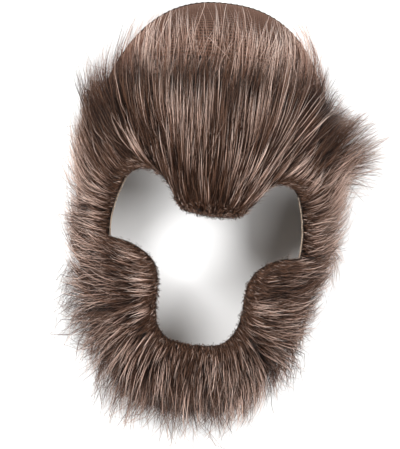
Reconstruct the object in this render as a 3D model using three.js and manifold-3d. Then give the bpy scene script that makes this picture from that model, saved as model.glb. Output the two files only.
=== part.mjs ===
// Wolf mask, lying face up on its back rim: a fur brow pelt, a fur beard pelt and a knit crown cap.
// Millimetres. +X is the right of a viewer who faces the mask, +Y points to the crown, +Z to the viewer.
import * as THREE from "three";
import { mergeVertices } from "three/addons/utils/BufferGeometryUtils.js";
import Module from "manifold-3d";

const wasm = await Module();
wasm.setup();

// The head that the mask is shaped for: half a superellipsoid that stands on the rim plane
const HEAD_CENTRE_Y = 25;
const HEAD_HALF_WIDTH = 76;
const HEAD_UP = 130;
const HEAD_DOWN = 123;
const HEAD_DEPTH = 100;
const CROSS_POWER = 2.2;
const CROWN_POWER = 2.4;
const JAW_POWER = 2;

const RIM_TOLERANCE = 1e-3;
const SLAB_SIZE = 400;

// Half of the face opening in plan, from the widow's peak to the notch and on to the chin
const BROW_EDGE = [
  [0, 23.4],
  [9, 24.2],
  [18, 26.5],
  [26.5, 39],
  [33.5, 46],
  [41, 48.3],
  [49.5, 44.5],
  [54, 34],
  [56, 26.3],
  [57.5, 15],
  [57, 5.4],
];
const BEARD_EDGE = [
  [57, 5.1],
  [46, 3],
  [38, -0.5],
  [31, -6],
  [27.5, -13],
  [26.2, -22],
  [26, -31],
  [23.3, -43.5],
  [16.5, -51.5],
  [6, -53.7],
  [0, -54],
];

// The seams, as angles about the head's centre where they meet the rim, and as shares of the way out to it
const SEAM_ANGLE = -12;
const SEAM_INSET = 0.0018;
const CAP_ANGLE = 30;
const CAP_TIP_ANGLE = 34;
const CAP_START = 0.56;
const CAP_ROUNDNESS = 0.6;
const CAP_INSET = 0.004;
const CAP_GROWTH = 0.003;

// Cloth with its short dense pile, before the locks
const PELT_THICKNESS = 5;
const PELT_EDGE_THICKNESS = 2.5;
const PELT_EDGE_SHARE = 0.2;
const CAP_THICKNESS = 2.2;
const CAP_RIM_THICKNESS = 3.2;
const CLEARANCE = 0.4;

// Fineness of the shells
const BROW_COLUMNS = 40;
const BEARD_COLUMNS = 36;
const CAP_COLUMNS = 24;
const PELT_ROWS = 5;
const CAP_ROWS = 5;

// Locks of fur: a three-sided section at the root, how it tapers, and the rows that they stand in
const LOCK_SECTION = [
  [-8.2, -1.5],
  [8.2, -1.5],
  [0, 5.5],
];
const LOCK_TAPER = [1, 1, 0.62];
const LOCK_SPACING = 15.4;
const LOCK_UNEVENNESS = 0.14;
const SHORTEST_LOCK = 9;
const EDGE_LOCK_SIZE = 0.68;
const BROW_ROW_PLACES = [0.07, 0.36, 0.66, 0.93];
const BEARD_ROW_PLACES = [0.07, 0.34, 0.62, 0.88];
const BROW_SEAM_MARGIN = 0.06;
const BEARD_SEAM_MARGIN = 0.03;

// The coat: its length and its rise off the head over the brow, at the crown and at the chin
const BROW_FUR = 40;
const CROWN_FUR = 36;
const CHIN_FUR = 30;
const BROW_RISE = 10;
const CROWN_RISE = 5;
const CHIN_RISE = 14;
const EDGE_SHARE = 0.62;
const RIM_SHARE = 0.75;
const SIDE_HUG = 0.9;

// Where the coat's zones meet, as heights above the head's centre in plan
const CHIN_TO_BROW = [-40, 20];
const SIDE_TO_TOP = [20, 75];
const BROW_TO_CROWN = [55, 95];

// The fur fans out from a point below the head's centre, and stands more upright towards the crown
const PARTING_DROP = 12;
const UPRIGHT_SHARE = 0.35;

// Its stronger tufts and its shorter stretches, by their angle about the head's centre
const TUFTS = [
  { angle: 21, spread: 12, length: 0, rise: 8, hug: -0.3 },
  { angle: 143, spread: 12, length: 4, rise: 12, hug: -0.35 },
  { angle: -3, spread: 13, length: -14, rise: -4, hug: 0.1 },
  { angle: 183, spread: 11, length: -14, rise: -4, hug: 0.1 },
  { angle: 206, spread: 14, length: -2, rise: 2, hug: -0.1 },
  { angle: 232, spread: 14, length: 0, rise: 4, hug: -0.15 },
  { angle: -38, spread: 20, length: -3, rise: -4, hug: 0.1 },
];

const FUR_BROWN = 0x6a5a50;
const FUR_DARK = 0x5a4b42;
const KNIT_BROWN = 0x5c4639;

const radians = THREE.MathUtils.degToRad;
const mix = THREE.MathUtils.lerp;
const smooth = (value, [low, high]) => THREE.MathUtils.smoothstep(value, low, high);

// How far out a place lies, 1 on the head's surface, with the place taken from the head's centre
function reach(p) {
  const endPower = p.y > 0 ? CROWN_POWER : JAW_POWER;
  const length = Math.abs(p.y) / (p.y > 0 ? HEAD_UP : HEAD_DOWN);
  const across = Math.abs(p.x) / HEAD_HALF_WIDTH;
  const up = Math.abs(p.z) / HEAD_DEPTH;
  const cross = across ** CROSS_POWER + up ** CROSS_POWER;
  return (cross ** (endPower / CROSS_POWER) + length ** endPower) ** (1 / endPower);
}

function onHead(p) {
  return p.clone().divideScalar(reach(p));
}

// The direction straight off the head's surface
function outward(p) {
  const step = 0.01;
  const slope = (axis) => {
    const ahead = p.clone();
    const behind = p.clone();
    ahead[axis] += step;
    behind[axis] -= step;
    return reach(ahead) - reach(behind);
  };
  return new THREE.Vector3(slope("x"), slope("y"), slope("z")).normalize();
}

// The place on the head above a point of the plan
function above(x, planY) {
  const y = planY - HEAD_CENTRE_Y;
  const endPower = y > 0 ? CROWN_POWER : JAW_POWER;
  const length = Math.abs(y) / (y > 0 ? HEAD_UP : HEAD_DOWN);
  const cross = (1 - length ** endPower) ** (CROSS_POWER / endPower);
  const z = HEAD_DEPTH * (cross - (Math.abs(x) / HEAD_HALF_WIDTH) ** CROSS_POWER) ** (1 / CROSS_POWER);
  return new THREE.Vector3(x, y, z);
}

function planCurve(points) {
  const places = points.map(([x, y]) => new THREE.Vector3(x, y, 0));
  return new THREE.CatmullRomCurve3(places, false, "centripetal");
}

const browEdge = planCurve(BROW_EDGE);
const beardEdge = planCurve(BEARD_EDGE);

// A place on the head between the opening's edge and the rim. along runs from -1 to 1 through the middle
// of the pelt, and out runs from 0 at the edge to 1 at the rim.
function between(edge, middleAngle, seamAngle, along, out) {
  const side = along < 0 ? -1 : 1;
  const share = Math.abs(along);
  const fromMiddle = middleAngle > 0 ? share : 1 - share;
  const inner = edge.getPointAt(fromMiddle);
  const from = above(inner.x, inner.y).normalize();
  const angle = radians(mix(middleAngle, seamAngle, share));
  const to = new THREE.Vector3(Math.cos(angle), Math.sin(angle), 0);
  const turn = from.angleTo(to);
  const place = from
    .multiplyScalar(Math.sin((1 - out) * turn))
    .addScaledVector(to, Math.sin(out * turn));
  place.x *= side;
  return onHead(place);
}

function browPlace(along, out) {
  return between(browEdge, 90, SEAM_ANGLE, along, out);
}

function beardPlace(along, out) {
  return between(beardEdge, -90, SEAM_ANGLE, along, out);
}

// How far out the brow pelt reaches before the cap begins, 1 where it reaches the rim
function capLine(along) {
  const angle = mix(90, SEAM_ANGLE, Math.abs(along));
  return 1 - (1 - CAP_START) * smooth(angle, [CAP_ANGLE, 90]) ** CAP_ROUNDNESS;
}

// A closed body, turned right side out where its faces were wound the other way
function solid(vertProperties, triVerts) {
  const made = new wasm.Manifold(new wasm.Mesh({ numProp: 3, vertProperties, triVerts }));
  if (made.volume() > 0) return made;
  const turned = triVerts.slice();
  for (let i = 0; i < turned.length; i += 3) {
    [turned[i], turned[i + 1]] = [turned[i + 1], turned[i]];
  }
  return new wasm.Manifold(new wasm.Mesh({ numProp: 3, vertProperties, triVerts: turned }));
}

// A closed shell over a grid of places on the head: its inner skin lies on the head, its outer skin stands
// off it by the thickness. across and out run from 0 to 1 over the grid.
function shell(columns, rows, placeAt, thicknessAt) {
  const count = (columns + 1) * (rows + 1);
  const vertices = new Float32Array(count * 6);
  const at = (column, row, skin) => skin * count + column * (rows + 1) + row;
  for (let column = 0; column <= columns; column++) {
    for (let row = 0; row <= rows; row++) {
      const across = column / columns;
      const out = row / rows;
      const inner = placeAt(across, out);
      const outer = inner.clone().addScaledVector(outward(inner), thicknessAt(out));
      const onRim = inner.z < RIM_TOLERANCE;
      if (onRim) outer.z = inner.z = 0;
      inner.toArray(vertices, at(column, row, 0) * 3);
      outer.toArray(vertices, at(column, row, 1) * 3);
    }
  }
  const faces = [];
  const quad = (a, b, c, d) => faces.push(a, b, c, a, c, d);
  for (let i = 0; i < columns; i++) {
    for (let j = 0; j < rows; j++) {
      quad(at(i, j, 0), at(i + 1, j, 0), at(i + 1, j + 1, 0), at(i, j + 1, 0));
      quad(at(i, j + 1, 1), at(i + 1, j + 1, 1), at(i + 1, j, 1), at(i, j, 1));
    }
    quad(at(i + 1, 0, 0), at(i, 0, 0), at(i, 0, 1), at(i + 1, 0, 1));
    quad(at(i, rows, 0), at(i + 1, rows, 0), at(i + 1, rows, 1), at(i, rows, 1));
  }
  for (let j = 0; j < rows; j++) {
    quad(at(0, j, 0), at(0, j + 1, 0), at(0, j + 1, 1), at(0, j, 1));
    quad(at(columns, j + 1, 0), at(columns, j, 0), at(columns, j, 1), at(columns, j + 1, 1));
  }
  return solid(vertices, new Uint32Array(faces));
}

function peltThickness(out) {
  return mix(PELT_EDGE_THICKNESS, PELT_THICKNESS, smooth(out, [0, PELT_EDGE_SHARE]));
}

function browShell(extra, inset) {
  const along = (across) => mix(inset - 1, 1 - inset, across);
  const placeAt = (across, out) => browPlace(along(across), out * capLine(along(across)));
  return shell(BROW_COLUMNS, PELT_ROWS, placeAt, (out) => peltThickness(out) + extra);
}

function beardShell() {
  const placeAt = (across, out) => beardPlace(mix(SEAM_INSET - 1, 1 - SEAM_INSET, across), out);
  return shell(BEARD_COLUMNS, PELT_ROWS, placeAt, peltThickness);
}

function capShell(extra, growth) {
  const tip = (90 - CAP_TIP_ANGLE) / (90 - SEAM_ANGLE) + growth;
  const placeAt = (across, out) => {
    const along = mix(-tip, tip, across);
    return browPlace(along, mix(capLine(along) + CAP_INSET - growth, 1, out));
  };
  return shell(CAP_COLUMNS, CAP_ROWS, placeAt, (out) => mix(CAP_THICKNESS, CAP_RIM_THICKNESS, out) + extra);
}

// Which way the fur lies at a place, in plan: up over the forehead, outward over the cheeks, down at the chin
function furAngle(place) {
  const fan = Math.atan2(place.y + PARTING_DROP, Math.abs(place.x));
  const upright = fan > 0 ? mix(fan, Math.PI / 2, UPRIGHT_SHARE * Math.sin(fan) ** 2) : fan;
  return place.x < 0 ? Math.PI - upright : upright;
}

// How long the fur is at a place, how steeply it rises and how closely it hugs the head's sides. out runs
// from 0 at the opening's edge to 1 at the rim.
function coat(place, out) {
  const brow = smooth(place.y, CHIN_TO_BROW);
  const crown = smooth(place.y, BROW_TO_CROWN);
  let length = mix(mix(CHIN_FUR, BROW_FUR, brow), CROWN_FUR, crown);
  let rise = mix(mix(CHIN_RISE, BROW_RISE, brow), CROWN_RISE, crown);
  let hug = mix(SIDE_HUG, 1, smooth(place.y, SIDE_TO_TOP));
  length *= mix(EDGE_SHARE, 1, smooth(out, [0, 0.35]));
  length *= mix(1, RIM_SHARE, smooth(out, [0.6, 1]));
  const around = THREE.MathUtils.radToDeg(Math.atan2(place.y, place.x));
  for (const tuft of TUFTS) {
    const away = Math.abs(((around - tuft.angle + 540) % 360) - 180) / tuft.spread;
    const strength = Math.exp(-(away ** 2)) * smooth(out, [0.1, 0.5]);
    length += tuft.length * strength;
    rise += tuft.rise * strength;
    hug += tuft.hug * strength;
  }
  return { length: Math.max(length, SHORTEST_LOCK), rise: radians(rise), hug: Math.min(hug, 1) };
}

// One pointed lock: it leaves the pelt at root, follows the fur's lie and rises off the head to its tip
function lock(root, { length, rise, hug }, size) {
  const sides = LOCK_SECTION.length;
  const step = (length * size) / LOCK_TAPER.length;
  const vertices = [];
  const place = root.clone();
  for (const taper of LOCK_TAPER) {
    const normal = outward(place);
    const angle = furAngle(place);
    const lie = new THREE.Vector3(Math.cos(angle), Math.sin(angle), 0);
    lie.addScaledVector(normal, -lie.dot(normal) * hug).normalize();
    const across = new THREE.Vector3().crossVectors(normal, lie).normalize();
    for (const [side, up] of LOCK_SECTION) {
      const corner = place.clone();
      corner.addScaledVector(across, side * size * taper);
      corner.addScaledVector(normal, up * size * taper);
      vertices.push(...corner.toArray());
    }
    place.addScaledVector(lie, step * Math.cos(rise));
    place.addScaledVector(normal, step * Math.sin(rise));
  }
  vertices.push(...place.toArray());
  const lastRing = (LOCK_TAPER.length - 1) * sides;
  const tip = lastRing + sides;
  const faces = [0, 2, 1];
  for (let i = 0; i < tip; i++) {
    const next = i % sides === sides - 1 ? i + 1 - sides : i + 1;
    if (i < lastRing) faces.push(i, next, next + sides, i, next + sides, i + sides);
    else faces.push(i, next, tip);
  }
  return solid(new Float32Array(vertices), new Uint32Array(faces));
}

// A small steady unevenness, so that no two locks are alike
function uneven(seed) {
  return 0.5 * Math.sin(seed * 12.9898) + 0.5 * Math.sin(seed * 4.1414);
}

// Staggered rows of locks over a pelt, from the opening outward, like shingles
function locksOver(placeAt, rowPlaces, lastOut, seamMargin) {
  const steps = 400;
  const locks = [];
  rowPlaces.forEach((rowPlace, row) => {
    let walked = (row % 2) * 0.5 * LOCK_SPACING;
    let before = null;
    for (let i = 0; i <= steps; i++) {
      const along = mix(seamMargin - 1, 1 - seamMargin, i / steps);
      const out = rowPlace * lastOut(along);
      const place = placeAt(along, out);
      if (before) walked += place.distanceTo(before);
      before = place;
      if (walked < LOCK_SPACING) continue;
      walked -= LOCK_SPACING;
      const rowSize = row === 0 ? EDGE_LOCK_SIZE : 1;
      const size = rowSize * (1 + LOCK_UNEVENNESS * uneven(locks.length + row));
      const root = place.clone().addScaledVector(outward(place), PELT_THICKNESS / 2);
      locks.push(lock(root, coat(place, out), size));
    }
  });
  return locks;
}

// Everything below the plane that the rim lies on
function belowRim() {
  const slab = new THREE.BoxGeometry(SLAB_SIZE, SLAB_SIZE, SLAB_SIZE).translate(0, 0, -SLAB_SIZE / 2);
  slab.deleteAttribute("normal");
  slab.deleteAttribute("uv");
  const merged = mergeVertices(slab);
  return solid(merged.attributes.position.array, new Uint32Array(merged.index.array));
}

// The lower skin stays clear of the piece that it laps over, and crumbs of the cut are dropped
function furPiece(cloth, locks, lappedOver) {
  const whole = wasm.Manifold.union([cloth, ...locks]).subtract(belowRim()).subtract(lappedOver);
  return whole.decompose().reduce((a, b) => (b.volume() > a.volume() ? b : a));
}

function meshOf(name, body, color) {
  const { vertProperties, triVerts } = body.getMesh();
  const geometry = new THREE.BufferGeometry();
  geometry.setAttribute("position", new THREE.BufferAttribute(vertProperties, 3));
  geometry.setIndex(new THREE.BufferAttribute(triVerts, 1));
  geometry.computeVertexNormals();
  const material = new THREE.MeshStandardMaterial({ color, roughness: 0.9, metalness: 0 });
  const mesh = new THREE.Mesh(geometry, material);
  mesh.name = name;
  return mesh;
}

const browLocks = locksOver(browPlace, BROW_ROW_PLACES, capLine, BROW_SEAM_MARGIN);
const beardLocks = locksOver(beardPlace, BEARD_ROW_PLACES, () => 1, BEARD_SEAM_MARGIN);
const browBody = furPiece(browShell(0, SEAM_INSET), browLocks, capShell(CLEARANCE, CAP_GROWTH));
const beardBody = furPiece(beardShell(), beardLocks, browShell(CLEARANCE, 0));

const pelts = new THREE.Group();
pelts.add(meshOf("brow_pelt", browBody, FUR_BROWN));
pelts.add(meshOf("beard_pelt", beardBody, FUR_DARK));

const mask = new THREE.Group();
mask.add(pelts);
mask.add(meshOf("crown_cap", capShell(0, 0), KNIT_BROWN));

// The frame's origin is under the middle of the mask, on the plane that its rim lies on
const middle = new THREE.Box3().setFromObject(mask).getCenter(new THREE.Vector3());
mask.position.set(-middle.x, -middle.y, 0);

export default mask;
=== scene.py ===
# %% [markdown]
# # A faux-fur wolf mask, lying face up
# The mask is sewn from three soft pieces: a fur pelt over the brow and temples, a fur pelt over the cheeks
# and chin, and a thin knit cap over the crown. The solids of the frame give each piece its place. Here each
# one is made again as cloth, and the two pelts are covered with tens of thousands of single hairs.

# %% Load the frame
import math
from types import SimpleNamespace

import bpy
import numpy as np
from mathutils import Matrix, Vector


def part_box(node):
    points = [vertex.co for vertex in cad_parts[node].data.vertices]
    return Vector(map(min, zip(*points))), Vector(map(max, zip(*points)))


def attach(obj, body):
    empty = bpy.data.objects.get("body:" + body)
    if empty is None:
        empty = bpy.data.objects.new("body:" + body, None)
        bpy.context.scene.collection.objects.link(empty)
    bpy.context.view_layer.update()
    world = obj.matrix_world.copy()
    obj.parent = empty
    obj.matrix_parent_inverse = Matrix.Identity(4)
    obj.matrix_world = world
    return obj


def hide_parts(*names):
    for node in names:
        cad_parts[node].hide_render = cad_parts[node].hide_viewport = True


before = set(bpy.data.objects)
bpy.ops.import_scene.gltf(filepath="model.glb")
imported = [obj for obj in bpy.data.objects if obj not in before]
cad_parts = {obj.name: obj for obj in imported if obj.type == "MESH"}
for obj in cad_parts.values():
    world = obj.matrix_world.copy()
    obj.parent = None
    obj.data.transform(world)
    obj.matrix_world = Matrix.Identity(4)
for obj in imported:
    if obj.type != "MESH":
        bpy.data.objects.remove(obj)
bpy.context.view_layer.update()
bpy.ops.object.select_all(action="DESELECT")
bpy.context.scene.view_settings.view_transform = "Standard"
BODY = "root"
MM = 0.001

# %% [markdown]
# ## The head under the cloth
# A stretchy mask takes its shape from the head that wears it. That shape could be sculpted by hand, but a
# rounded form with a rule of its own, half a superellipsoid, is smooth everywhere and tells us at any place
# how far out we are and which way is off the skin. All three pieces and every hair are set out on it.

# %% The head form
HEAD_HALF_WIDTH = 76 * MM
HEAD_UP = 130 * MM
HEAD_DOWN = 123 * MM
HEAD_DEPTH = 100 * MM
HEAD_CENTRE_Y = 25 * MM
CROSS_POWER = 2.2
CROWN_POWER = 2.4
JAW_POWER = 2.0
CAP_RIM_THICKNESS = 3.2 * MM

cap_low, cap_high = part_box("crown_cap")
CENTRE = np.array([(cap_low.x + cap_high.x) / 2, cap_high.y - CAP_RIM_THICKNESS - HEAD_UP, 0.0])


def mix(a, b, share):
    return a + (b - a) * share


def smooth(value, low, high):
    """0 up to low, 1 from high on and a soft ramp between them; low may be the larger one."""
    share = np.clip((value - low) / (high - low), 0, 1)
    return share * share * (3 - 2 * share)


def unit(vectors):
    return vectors / np.maximum(np.linalg.norm(vectors, axis=-1, keepdims=True), 1e-12)


def end_of_head(y):
    """The power and the length of the half of the head that each y lies in, the crown or the jaw."""
    top = y > 0
    return np.where(top, CROWN_POWER, JAW_POWER), np.where(top, HEAD_UP, HEAD_DOWN)


def reach(p):
    """How far out each place lies, 1 on the skin, with places taken from the head's centre."""
    power, size = end_of_head(p[..., 1])
    across = np.abs(p[..., 0]) / HEAD_HALF_WIDTH
    cross = across ** CROSS_POWER + (np.abs(p[..., 2]) / HEAD_DEPTH) ** CROSS_POWER
    return (cross ** (power / CROSS_POWER) + (np.abs(p[..., 1]) / size) ** power) ** (1 / power)


def slope_of_reach(p, step=0.01 * MM):
    """How fast the reach grows along x, y and z, from places a small step to both sides."""
    ways = np.eye(3) * step
    return np.stack([reach(p + way) - reach(p - way) for way in ways], -1) / (2 * step)


def outward(p):
    return unit(slope_of_reach(p))


def height_over(p):
    """How far each place stands off the skin, and the way straight off it."""
    slope = slope_of_reach(p)
    steep = np.linalg.norm(slope, axis=-1)
    return (reach(p) - 1) / steep, slope / steep[..., None]


def above(x, plan_y):
    """The places on the skin above points of the plan."""
    y = plan_y - HEAD_CENTRE_Y
    power, size = end_of_head(y)
    cross = (1 - (np.abs(y) / size) ** power) ** (CROSS_POWER / power)
    z = HEAD_DEPTH * (cross - (np.abs(x) / HEAD_HALF_WIDTH) ** CROSS_POWER) ** (1 / CROSS_POWER)
    return np.stack([x, y, z], -1)


nose = above(np.zeros(1), np.zeros(1))[0]
print("head centre in the row", CENTRE.round(4), "skin at the nose", nose.round(4))

# %% [markdown]
# ## The face opening
# The scissors' line round the face is what makes this a wolf: a widow's peak that dips between the eyes, a
# scallop over each eye, a straight side and a lobe of cheek fur that curls in towards the mouth. Half of it
# is drawn as a smooth curve through a few points of the plan, and the other half mirrors it.

# %% The edge curves
BROW_EDGE = np.array([
    (0, 23.4), (9, 24.2), (18, 26.5), (26.5, 39), (33.5, 46), (41, 48.3),
    (49.5, 44.5), (54, 34), (56, 26.3), (57.5, 15), (57, 5.4),
]) * MM
BEARD_EDGE = np.array([
    (57, 5.1), (46, 3), (38, -0.5), (31, -6), (27.5, -13), (26.2, -22),
    (26, -31), (23.3, -43.5), (16.5, -51.5), (6, -53.7), (0, -54),
]) * MM
SEAM_ANGLE = -12
SEAM_INSET = 0.0002
CAP_ANGLE = 30
CAP_TIP_ANGLE = 34
CAP_START = 0.56
CAP_ROUNDNESS = 0.6
CAP_INSET = 0.004


def smooth_line(points, fineness=40):
    """A centripetal curve through the points, as many short steps, with the share of its length at each."""
    ends = np.vstack([2 * points[:1] - points[1:2], points, 2 * points[-1:] - points[-2:-1]])
    gaps = np.linalg.norm(np.diff(ends, axis=0), axis=1) ** 0.5
    line = []
    for i in range(1, len(ends) - 2):
        before, start, stop, after = ends[i - 1:i + 3]
        g0, g1, g2 = gaps[i - 1:i + 2]
        leave = ((start - before) / g0 - (stop - before) / (g0 + g1)) * g1 + (stop - start)
        arrive = ((after - stop) / g2 - (after - start) / (g1 + g2)) * g1 + (stop - start)
        t = np.linspace(0, 1, fineness, endpoint=False)[:, None]
        line.append(
            start * (2 * t**3 - 3 * t**2 + 1) + leave * (t**3 - 2 * t**2 + t)
            + stop * (3 * t**2 - 2 * t**3) + arrive * (t**3 - t**2)
        )
    line = np.vstack([*line, points[-1:]])
    walked = np.concatenate([[0], np.cumsum(np.linalg.norm(np.diff(line, axis=0), axis=1))])
    return walked / walked[-1], line


BROW_LINE = smooth_line(BROW_EDGE)
BEARD_LINE = smooth_line(BEARD_EDGE)


def between(line, middle_angle, along, out):
    """Places on the skin from the opening's edge, out 0, to the rim, out 1. along runs from -1 to 1."""
    along, out = np.broadcast_arrays(np.asarray(along, float), np.asarray(out, float))
    share = np.abs(along)
    from_middle = share if middle_angle > 0 else 1 - share
    x, y = (np.interp(from_middle, line[0], line[1][:, i]) for i in (0, 1))
    start = unit(above(x, y))
    angle = np.radians(mix(middle_angle, SEAM_ANGLE, share))
    stop = np.stack([np.cos(angle), np.sin(angle), np.zeros_like(angle)], -1)
    turn = np.arccos(np.clip((start * stop).sum(-1), -1, 1))
    place = start * np.sin((1 - out) * turn)[..., None] + stop * np.sin(out * turn)[..., None]
    place[..., 0] *= np.where(along < 0, -1, 1)
    return place / reach(place)[..., None]


def cap_line(along):
    """How far out the brow pelt reaches before the cap begins, 1 where it reaches the rim."""
    angle = mix(90, SEAM_ANGLE, np.abs(along))
    return 1 - (1 - CAP_START) * smooth(angle, CAP_ANGLE, 90) ** CAP_ROUNDNESS


def brow_place(along, out):
    """out runs to 1 at the pelt's own far edge, the crown seam or the rim."""
    return between(BROW_LINE, 90, along, out * cap_line(along))


def beard_place(along, out):
    """out runs to 1 at the rim."""
    return between(BEARD_LINE, -90, along, out)


CAP_REACH = (90 - CAP_TIP_ANGLE) / (90 - SEAM_ANGLE)


def cap_place(across, out):
    """across runs from -1 to 1 between the cap's two points, and out from the seam, 0, to the rim, 1."""
    along = across * CAP_REACH
    return between(BROW_LINE, 90, along, mix(cap_line(along) + CAP_INSET, 1, out))


print("brow edge", round(float(np.ptp(BROW_LINE[1][:, 0]) * 2e3), 1), "mm across")

# %% [markdown]
# ## Plain tools for meshes
# A few things happen to every piece: it is picked out alone, its points are read and written as one block of
# numbers, and it is handed to the body that it rides on. Short helpers keep the later cells readable.


# %% Helpers
def pick(*pieces):
    bpy.ops.object.select_all(action="DESELECT")
    for piece in pieces:
        piece.select_set(True)
    bpy.context.view_layer.objects.active = pieces[0]
    return pieces[0]


def points_of(mesh):
    flat = np.empty(len(mesh.vertices) * 3, np.float32)
    mesh.vertices.foreach_get("co", flat)
    return flat.reshape(-1, 3).astype(float)


def move_points(mesh, points):
    mesh.vertices.foreach_set("co", np.asarray(points, np.float32).ravel())
    mesh.update()


def face_values(mesh, name, width):
    flat = np.empty(len(mesh.polygons) * width, np.float32)
    mesh.polygons.foreach_get(name, flat)
    return flat.reshape(-1, width)


def apply_modifier(piece, kind, **settings):
    pick(piece)
    modifier = piece.modifiers.new(kind.title(), kind)
    for name, value in settings.items():
        setattr(modifier, name, value)
    bpy.ops.object.modifier_apply(modifier=modifier.name)


def triangles_of(piece):
    piece.data.calc_loop_triangles()
    return len(piece.data.loop_triangles)


print("helpers ready")

# %% [markdown]
# ## Materials: the fur
# Faux fur is acrylic pile in two lengths: a short dense undercoat, nearly black-brown at the root, and
# longer guard hairs that pale towards the tip. No two hairs are the same tone, and here and there one is
# almost cream. A hair's own map holds both facts: across it lies the hair's tone and up it lies the way
# from root to tip. So a few colour ramps dress all hairs, in the grey-brown coat of the pelts and, on the
# last quarter of the tones, in the warmer one of the crown.


# %% Fur material
FUR_MAP = "OFBake"


def linear(colour):
    """A colour as seen on a screen, as hex, in the linear values that a shader takes."""
    parts = [int(colour[i:i + 2], 16) / 255 for i in (1, 3, 5)]
    return [p / 12.92 if p <= 0.04045 else ((p + 0.055) / 1.055) ** 2.4 for p in parts] + [1]


def new_material(name):
    material = bpy.data.materials.new(name)
    material.use_nodes = True
    return material, material.node_tree, material.node_tree.nodes["Principled BSDF"]


def ramp(tree, stops, source):
    node = tree.nodes.new("ShaderNodeValToRGB")
    elements = node.color_ramp.elements
    while len(elements) < len(stops):
        elements.new(0.5)
    for element, (place, colour) in zip(elements, stops):
        element.position = place
        element.color = linear(colour) if isinstance(colour, str) else [colour] * 3 + [1]
    tree.links.new(source, node.inputs["Fac"])
    return node.outputs["Color"]


def mixed(tree, share, first, second, way="MIX"):
    node = tree.nodes.new("ShaderNodeMix")
    node.data_type = "RGBA"
    node.blend_type = way
    if isinstance(share, (int, float)):
        node.inputs["Factor"].default_value = share
    else:
        tree.links.new(share, node.inputs["Factor"])
    for socket, value in ((node.inputs["A"], first), (node.inputs["B"], second)):
        if isinstance(value, (list, tuple)):
            socket.default_value = value
        else:
            tree.links.new(value, socket)
    return node.outputs["Result"]


WARM_FROM = 0.75
SHARP_STEP = 0.001
COMMON_TONES, PALE_TONES = (0.28, 0.6), (0.72, 0.96)


def fur_material(name, cool, warm):
    """cool and warm are coats: the root, middle and tip colours of dark, common and pale hairs."""
    material, tree, shader = new_material(name)
    uv = tree.nodes.new("ShaderNodeUVMap")
    uv.uv_map = FUR_MAP
    parts = tree.nodes.new("ShaderNodeSeparateXYZ")
    tree.links.new(uv.outputs["UV"], parts.inputs["Vector"])
    tone, way_up = parts.outputs["X"], parts.outputs["Y"]

    def coat(colours, low, high):
        dark, common, pale = [ramp(tree, list(zip((0.0, 0.5, 1.0), sort)), way_up) for sort in colours]
        steps = [
            ramp(tree, [(mix(low, high, start), 0.0), (mix(low, high, stop), 1.0)], tone)
            for start, stop in (COMMON_TONES, PALE_TONES)
        ]
        return mixed(tree, steps[1], mixed(tree, steps[0], dark, common), pale)

    is_warm = ramp(tree, [(WARM_FROM - SHARP_STEP, 0.0), (WARM_FROM + SHARP_STEP, 1.0)], tone)
    colour = mixed(tree, is_warm, coat(cool, 0, WARM_FROM), coat(warm, WARM_FROM, 1))
    tree.links.new(colour, shader.inputs["Base Color"])
    shader.inputs["Roughness"].default_value = 0.4
    shader.inputs["Specular IOR Level"].default_value = 0.22
    return material


COOL_COAT = (
    ("#0a0503", "#211108", "#3e2618"),
    ("#180c07", "#553828", "#8d6954"),
    ("#442f29", "#d0b0a0", "#f6e5da"),
)
WARM_COAT = (
    ("#0a0503", "#39241a", "#7b5644"),
    ("#180c07", "#8a6351", "#d2aa98"),
    ("#4a352c", "#e6cabb", "#fbefe7"),
)
brow_coat = fur_material("brow_pile", COOL_COAT, WARM_COAT)
beard_coat = fur_material("beard_pile", COOL_COAT, WARM_COAT)
print("fur materials", [brow_coat.name, beard_coat.name])

# %% [markdown]
# ## Materials: the backing and the cap
# Behind the pile is a tan warp-knit backing, so the fur side of the cloth is brown and the skin side shows
# fine columns of loops. The cap is a thinner brown knit with ribs that run from side to side. Threads of a
# heathered yarn differ a little in tone, which a fine stretched noise gives.


# %% Cloth materials
def bump_from(tree, shader, height, depth, strength):
    node = tree.nodes.new("ShaderNodeBump")
    node.inputs["Distance"].default_value = depth
    node.inputs["Strength"].default_value = strength
    tree.links.new(height, node.inputs["Height"])
    tree.links.new(node.outputs["Normal"], shader.inputs["Normal"])


def noise(tree, stretch, scale, detail=3):
    where = tree.nodes.new("ShaderNodeTexCoord")
    mapping = tree.nodes.new("ShaderNodeMapping")
    mapping.inputs["Scale"].default_value = stretch
    node = tree.nodes.new("ShaderNodeTexNoise")
    node.inputs["Scale"].default_value = scale
    node.inputs["Detail"].default_value = detail
    tree.links.new(where.outputs["Object"], mapping.inputs["Vector"])
    tree.links.new(mapping.outputs["Vector"], node.inputs["Vector"])
    return node.outputs["Fac"]


def wave(tree, axis, pitch, distortion=0.6):
    """Bands across an axis of the piece, one for each pitch."""
    where = tree.nodes.new("ShaderNodeTexCoord")
    node = tree.nodes.new("ShaderNodeTexWave")
    node.bands_direction = axis
    node.inputs["Scale"].default_value = math.pi / (10 * pitch)
    node.inputs["Distortion"].default_value = distortion
    node.inputs["Detail"].default_value = 1.0
    tree.links.new(where.outputs["Object"], node.inputs["Vector"])
    return node.outputs["Fac"]


def knit_material(name, deep, high, column_pitch, course_pitch, roughness):
    material, tree, shader = new_material(name)
    loops = mixed(tree, 0.5, wave(tree, "X", column_pitch), wave(tree, "Y", course_pitch), "MULTIPLY")
    yarn = noise(tree, stretch=(1, 6, 1), scale=260)
    shade = mixed(tree, 0.35, loops, yarn)
    tree.links.new(ramp(tree, [(0.15, deep), (0.75, high)], shade), shader.inputs["Base Color"])
    shader.inputs["Roughness"].default_value = roughness
    shader.inputs["Sheen Weight"].default_value = 0.15
    bump_from(tree, shader, shade, depth=0.4 * MM, strength=0.6)
    return material


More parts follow.
